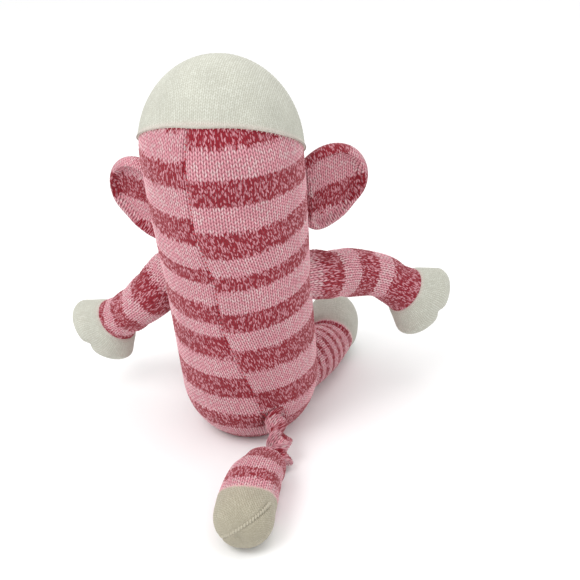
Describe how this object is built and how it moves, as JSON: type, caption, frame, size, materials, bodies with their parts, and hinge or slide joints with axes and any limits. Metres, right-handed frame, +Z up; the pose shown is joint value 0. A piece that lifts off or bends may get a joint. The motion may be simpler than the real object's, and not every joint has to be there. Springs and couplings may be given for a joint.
{
  "type": "stuffed monkey",
  "caption": "Sitting knitted monkey with a striped tube body, plain knit cap, muzzle, hands and feet, folding ears, sewn-on limbs and a tail with a stuffed end.",
  "frame": {"origin": "middle of the flat of the seat, on the surface the toy sits on", "axes": "+Z up, the face looks along -Y, the toy's right side is -X"},
  "size_m": [0.2783, 0.2753, 0.2786],
  "materials": {
    "striped_knit": "stockinette knit in bands of red marl and light pink",
    "cream_knit": "fine cream stockinette knit",
    "fibre_fill": "loose white polyester fibre",
    "red_thread": "twisted red cotton thread",
    "cream_thread": "twisted cream cotton thread",
    "eye_gloss": "polished black",
    "washer_plastic": "moulded white"
  },
  "bodies": {
    "torso": {"left_body_panel": "striped_knit", "right_body_panel": "striped_knit", "crown_cap": "cream_knit", "body_stuffing": "fibre_fill", "back_seam_thread": "red_thread", "front_seam_thread": "red_thread", "cap_seam_thread": "cream_thread", "muzzle_skin": "cream_knit", "muzzle_stuffing": "fibre_fill", "mouth_stitch": "red_thread", "nostril_stitches": "red_thread", "left_eye": "eye_gloss", "right_eye": "eye_gloss", "left_eye_washer": "washer_plastic", "right_eye_washer": "washer_plastic", "left_ear_thread": "red_thread", "right_ear_thread": "red_thread", "left_shoulder_thread": "red_thread", "right_shoulder_thread": "red_thread", "left_hip_thread": "red_thread", "right_hip_thread": "red_thread", "tail_root_thread": "red_thread"},
    "left_ear": {"left_ear_back": "striped_knit", "left_ear_front": "striped_knit", "left_ear_stuffing": "fibre_fill"},
    "right_ear": {"right_ear_back": "striped_knit", "right_ear_front": "striped_knit", "right_ear_stuffing": "fibre_fill"},
    "left_arm": {"left_arm_sleeve": "striped_knit", "left_hand": "cream_knit", "left_arm_stuffing": "fibre_fill"},
    "right_arm": {"right_arm_sleeve": "striped_knit", "right_hand": "cream_knit", "right_arm_stuffing": "fibre_fill"},
    "left_leg": {"left_leg_sleeve": "striped_knit", "left_foot": "cream_knit", "left_leg_stuffing": "fibre_fill"},
    "right_leg": {"right_leg_sleeve": "striped_knit", "right_foot": "cream_knit", "right_leg_stuffing": "fibre_fill"},
    "tail_stem": {"tail_stem": "striped_knit"},
    "tail_end": {"tail_sleeve": "striped_knit", "tail_tip": "cream_knit", "tail_stuffing": "fibre_fill", "tail_toe_thread": "cream_thread"}
  },
  "joints": [
    {"name": "left_ear_fold", "type": "hinge", "parent": "torso", "child": "left_ear", "pos_m": [0.0538, 0.0116, 0.17358], "axis": [0, 0.165, 0.9863], "range_deg": [-25, 25], "stiffness_Nm_per_rad": 0.02},
    {"name": "right_ear_fold", "type": "hinge", "parent": "torso", "child": "right_ear", "pos_m": [-0.04977, 0.00349, 0.18], "axis": [0, -0.165, -0.9863], "range_deg": [-25, 25], "stiffness_Nm_per_rad": 0.02},
    {"name": "left_shoulder", "type": "hinge", "parent": "torso", "child": "left_arm", "pos_m": [0.056, -0.006, 0.11], "axis": [0, -1, 0], "range_deg": [-5, 60], "stiffness_Nm_per_rad": 0.06},
    {"name": "right_shoulder", "type": "hinge", "parent": "torso", "child": "right_arm", "pos_m": [-0.056, -0.006, 0.113], "axis": [0, 1, 0], "range_deg": [-20, 60], "stiffness_Nm_per_rad": 0.06},
    {"name": "left_hip", "type": "hinge", "parent": "torso", "child": "left_leg", "pos_m": [0.035, -0.044, 0.0205], "axis": [-1, 0, 0], "range_deg": [0, 45], "stiffness_Nm_per_rad": 0.06},
    {"name": "right_hip", "type": "hinge", "parent": "torso", "child": "right_leg", "pos_m": [-0.035, -0.044, 0.0205], "axis": [-1, 0, 0], "range_deg": [0, 45], "stiffness_Nm_per_rad": 0.06},
    {"name": "tail_swing", "type": "hinge", "parent": "torso", "child": "tail_stem", "pos_m": [-0.0255, 0.049, 0.025], "axis": [0, 0, 1], "range_deg": [-20, 20], "stiffness_Nm_per_rad": 0.02},
    {"name": "tail_curl", "type": "hinge", "parent": "tail_stem", "child": "tail_end", "pos_m": [-0.031, 0.075, 0.0095], "axis": [1, 0, 0], "range_deg": [0, 40], "stiffness_Nm_per_rad": 0.02}
  ]
}
